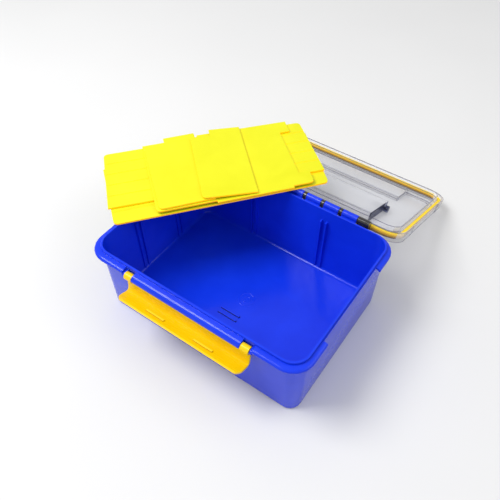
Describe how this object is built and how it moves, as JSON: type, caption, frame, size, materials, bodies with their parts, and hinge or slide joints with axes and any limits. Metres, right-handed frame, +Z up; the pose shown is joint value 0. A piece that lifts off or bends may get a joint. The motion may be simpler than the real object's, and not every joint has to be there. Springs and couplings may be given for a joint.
{
  "type": "divided storage box",
  "caption": "Deep rectangular box with a clear sealed hinged lid, fold-down carry handle, wide swing-over latch and loose snap-in divider plates.",
  "frame": {"origin": "centre of the flat underside of the box", "axes": "+X along the latch side, -Y towards the latch, +Y towards the hinge and the opened lid, +Z up"},
  "size_m": [0.361, 0.4169, 0.115],
  "materials": {
    "box_plastic": "glossy moulded polypropylene, royal blue",
    "latch_plastic": "glossy moulded plastic, orange yellow",
    "divider_plastic": "satin moulded plastic, lemon yellow",
    "clear_plastic": "clear polished plastic",
    "gasket_rubber": "soft satin rubber, amber yellow",
    "pin_steel": "drawn stainless wire"
  },
  "bodies": {
    "box": {"container": "box_plastic", "latch_pin_left": "pin_steel", "latch_pin_right": "pin_steel", "lid_hinge_pin": "pin_steel"},
    "latch": {"front_latch": "latch_plastic"},
    "lid": {"lid_panel": "clear_plastic", "lid_gasket": "gasket_rubber", "handle_pin_left": "pin_steel", "handle_pin_right": "pin_steel"},
    "handle": {"carry_handle": "clear_plastic"},
    "long_plate_1": {"long_divider_1": "divider_plastic"},
    "long_plate_2": {"long_divider_2": "divider_plastic"},
    "wide_plate": {"wide_divider": "divider_plastic"},
    "short_plate_1": {"short_divider_1": "divider_plastic"},
    "short_plate_2": {"short_divider_2": "divider_plastic"}
  },
  "joints": [
    {"name": "lid_hinge", "type": "hinge", "parent": "box", "child": "lid", "pos_m": [0, 0.105, 0.0978], "axis": [1, 0, 0], "range_deg": [0, 204]},
    {"name": "latch_hinge", "type": "hinge", "parent": "box", "child": "latch", "pos_m": [0, -0.1016, 0.0902], "axis": [-1, 0, 0], "range_deg": [0, 165]},
    {"name": "handle_hinge", "type": "hinge", "parent": "lid", "child": "handle", "pos_m": [0, 0.18847, 0.04925], "axis": [1, 0, 0], "range_deg": [0, 90]},
    {"name": "stack_lift", "type": "slide", "parent": "box", "child": "long_plate_1", "axis": [0, 0, 1], "range_m": [0, 0.5]},
    {"name": "long_plate_2_lift", "type": "slide", "parent": "long_plate_1", "child": "long_plate_2", "axis": [0, 0, 1], "range_m": [0, 0.06]},
    {"name": "wide_plate_lift", "type": "slide", "parent": "long_plate_2", "child": "wide_plate", "axis": [0, 0, 1], "range_m": [0, 0.06]},
    {"name": "short_plate_1_lift", "type": "slide", "parent": "wide_plate", "child": "short_plate_1", "axis": [0, 0, 1], "range_m": [0, 0.06]},
    {"name": "short_plate_2_lift", "type": "slide", "parent": "short_plate_1", "child": "short_plate_2", "axis": [0, 0, 1], "range_m": [0, 0.06]}
  ],
  "couplings": [
    {"joint": "stack_lift", "follows": "lid_hinge", "m_per_rad": 0.139}
  ]
}
